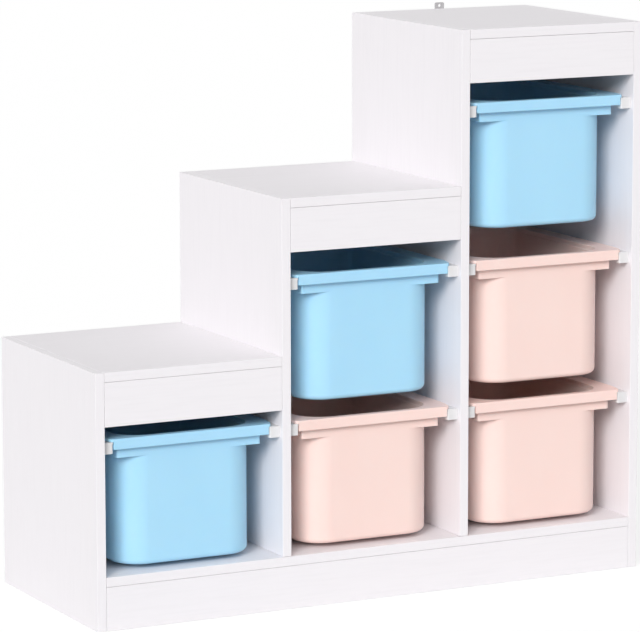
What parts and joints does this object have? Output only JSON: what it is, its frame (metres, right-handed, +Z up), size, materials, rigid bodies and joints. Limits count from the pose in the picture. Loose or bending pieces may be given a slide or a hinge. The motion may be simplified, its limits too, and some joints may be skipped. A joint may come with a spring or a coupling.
{
  "type": "toy storage organizer",
  "caption": "Stepped white toy storage cabinet with a low, a middle and a high column of pull-out moulded bins that hang by their rims on side runners.",
  "frame": {"origin": "on the floor, under the middle of the bounding box", "axes": "+X along the front from the low column to the high one, +Y from the front to the back, +Z up"},
  "size_m": [1, 0.3918, 0.9405],
  "materials": {
    "white_board": "satin white laminate with a faint embossed grain",
    "back_board": "white lacquered hardboard",
    "blue_plastic": "satin moulded",
    "pink_plastic": "satin moulded",
    "runner_plastic": "satin moulded",
    "strap_steel": "zinc plated",
    "zinc_steel": "zinc plated",
    "beech": "bare"
  },
  "bodies": {
    "cabinet": {"left_side_panel": "white_board", "lower_divider": "white_board", "upper_divider": "white_board", "right_side_panel": "white_board", "bottom_panel": "white_board", "front_plinth": "white_board", "rear_plinth": "white_board", "low_top_panel": "white_board", "low_front_rail": "white_board", "low_back_panel": "back_board", "middle_top_panel": "white_board", "middle_front_rail": "white_board", "middle_back_panel": "back_board", "high_top_panel": "white_board", "high_front_rail": "white_board", "high_back_panel": "back_board", "low_left_runner": "runner_plastic", "low_right_runner": "runner_plastic", "middle_lower_left_runner": "runner_plastic", "middle_lower_right_runner": "runner_plastic", "middle_upper_left_runner": "runner_plastic", "middle_upper_right_runner": "runner_plastic", "high_lower_left_runner": "runner_plastic", "high_lower_right_runner": "runner_plastic", "high_middle_left_runner": "runner_plastic", "high_middle_right_runner": "runner_plastic", "high_upper_left_runner": "runner_plastic", "high_upper_right_runner": "runner_plastic", "cam_bolts": "zinc_steel", "cam_nuts": "zinc_steel", "rail_dowels": "beech", "plinth_dowels": "beech", "divider_screws": "zinc_steel", "bracket_screw": "zinc_steel", "wall_bracket": "strap_steel"},
    "low_bin_body": {"low_bin": "blue_plastic"},
    "middle_lower_bin_body": {"middle_lower_bin": "pink_plastic"},
    "middle_upper_bin_body": {"middle_upper_bin": "blue_plastic"},
    "high_lower_bin_body": {"high_lower_bin": "pink_plastic"},
    "high_middle_bin_body": {"high_middle_bin": "pink_plastic"},
    "high_upper_bin_body": {"high_upper_bin": "blue_plastic"}
  },
  "joints": [
    {"name": "low_bin_slide", "type": "slide", "parent": "cabinet", "child": "low_bin_body", "axis": [0, -1, 0], "range_m": [0, 0.4]},
    {"name": "middle_lower_bin_slide", "type": "slide", "parent": "cabinet", "child": "middle_lower_bin_body", "axis": [0, -1, 0], "range_m": [0, 0.4]},
    {"name": "middle_upper_bin_slide", "type": "slide", "parent": "cabinet", "child": "middle_upper_bin_body", "axis": [0, -1, 0], "range_m": [0, 0.4]},
    {"name": "high_lower_bin_slide", "type": "slide", "parent": "cabinet", "child": "high_lower_bin_body", "axis": [0, -1, 0], "range_m": [0, 0.4]},
    {"name": "high_middle_bin_slide", "type": "slide", "parent": "cabinet", "child": "high_middle_bin_body", "axis": [0, -1, 0], "range_m": [0, 0.4]},
    {"name": "high_upper_bin_slide", "type": "slide", "parent": "cabinet", "child": "high_upper_bin_body", "axis": [0, -1, 0], "range_m": [0, 0.4]}
  ]
}
